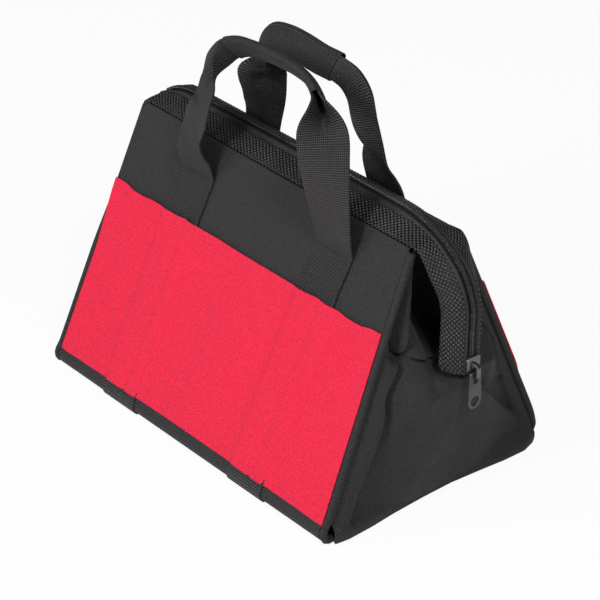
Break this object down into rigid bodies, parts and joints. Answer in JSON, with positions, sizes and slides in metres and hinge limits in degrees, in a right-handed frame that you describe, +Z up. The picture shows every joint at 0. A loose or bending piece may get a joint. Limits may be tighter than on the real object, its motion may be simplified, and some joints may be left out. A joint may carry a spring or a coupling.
{
  "type": "zippered tool bag",
  "caption": "Soft fabric tool bag with a wide zipped mouth, a bright pocket across each long side, and webbing straps that rise into a pair of carry handles.",
  "frame": {"origin": "on the floor, under the middle of the base; the bag stands on the two straps that pass under it", "axes": "+X along the length towards the zip slider, +Y towards the back side, +Z up; the front pocket faces -Y"},
  "size_m": [0.381, 0.2166, 0.3048],
  "materials": {
    "bag_fabric": "black woven polyester, matt",
    "pocket_fabric": "rose red woven polyester, matt",
    "webbing": "black ribbed polypropylene webbing",
    "zip_tape": "black knitted zip tape",
    "zip_coil": "black nylon coil, glossy",
    "base_board": "grey plastic board",
    "zip_metal": "grey gunmetal plating, satin"
  },
  "bodies": {
    "bag_base": {"base_panel": "bag_fabric", "base_board": "base_board", "base_strap_left": "webbing", "base_strap_right": "webbing", "base_piping_left": "bag_fabric", "base_piping_right": "bag_fabric", "gusset_left": "bag_fabric", "gusset_right": "bag_fabric", "tongue_front_band": "webbing", "tongue_front_tape": "zip_tape", "tongue_front_coil": "zip_coil", "tongue_back_band": "webbing", "tongue_back_tape": "zip_tape", "tongue_back_coil": "zip_coil"},
    "front_side": {"front_panel": "bag_fabric", "front_pocket": "pocket_fabric", "front_strap_left": "webbing", "front_strap_right": "webbing", "front_piping_left": "bag_fabric", "front_piping_right": "bag_fabric", "front_band": "webbing", "front_zip_tape": "zip_tape", "front_zip_coil": "zip_coil"},
    "front_handle": {"front_handle_webbing": "webbing", "front_grip_sleeve": "bag_fabric"},
    "back_side": {"back_panel": "bag_fabric", "back_pocket": "pocket_fabric", "back_strap_left": "webbing", "back_strap_right": "webbing", "back_piping_left": "bag_fabric", "back_piping_right": "bag_fabric", "back_band": "webbing", "back_zip_tape": "zip_tape", "back_zip_coil": "zip_coil"},
    "back_handle": {"back_handle_webbing": "webbing", "back_grip_sleeve": "bag_fabric"},
    "zip_slider": {"slider_body": "zip_metal"},
    "tab": {"pull_tab": "zip_metal"}
  },
  "joints": [
    {"name": "front_side_open", "type": "hinge", "parent": "bag_base", "child": "front_side", "pos_m": [0, -0.10893, 0.01514], "axis": [1, 0, 0], "range_deg": [0, 18]},
    {"name": "back_side_open", "type": "hinge", "parent": "bag_base", "child": "back_side", "pos_m": [0, 0.10893, 0.01514], "axis": [-1, 0, 0], "range_deg": [0, 18]},
    {"name": "front_handle_swing", "type": "hinge", "parent": "front_side", "child": "front_handle", "pos_m": [0, -0.03495, 0.18101], "axis": [1, 0, 0], "range_deg": [0, 138]},
    {"name": "back_handle_swing", "type": "hinge", "parent": "back_side", "child": "back_handle", "pos_m": [0, 0.03495, 0.18101], "axis": [-1, 0, 0], "range_deg": [0, 150]},
    {"name": "slider_travel", "type": "slide", "parent": "bag_base", "child": "zip_slider", "axis": [0, 0, 1], "range_m": [0, 0.03]},
    {"name": "pull_tab_flip", "type": "hinge", "parent": "zip_slider", "child": "tab", "pos_m": [0.19315, 0, 0.1174], "axis": [0, -1, 0], "range_deg": [0, 165]}
  ]
}
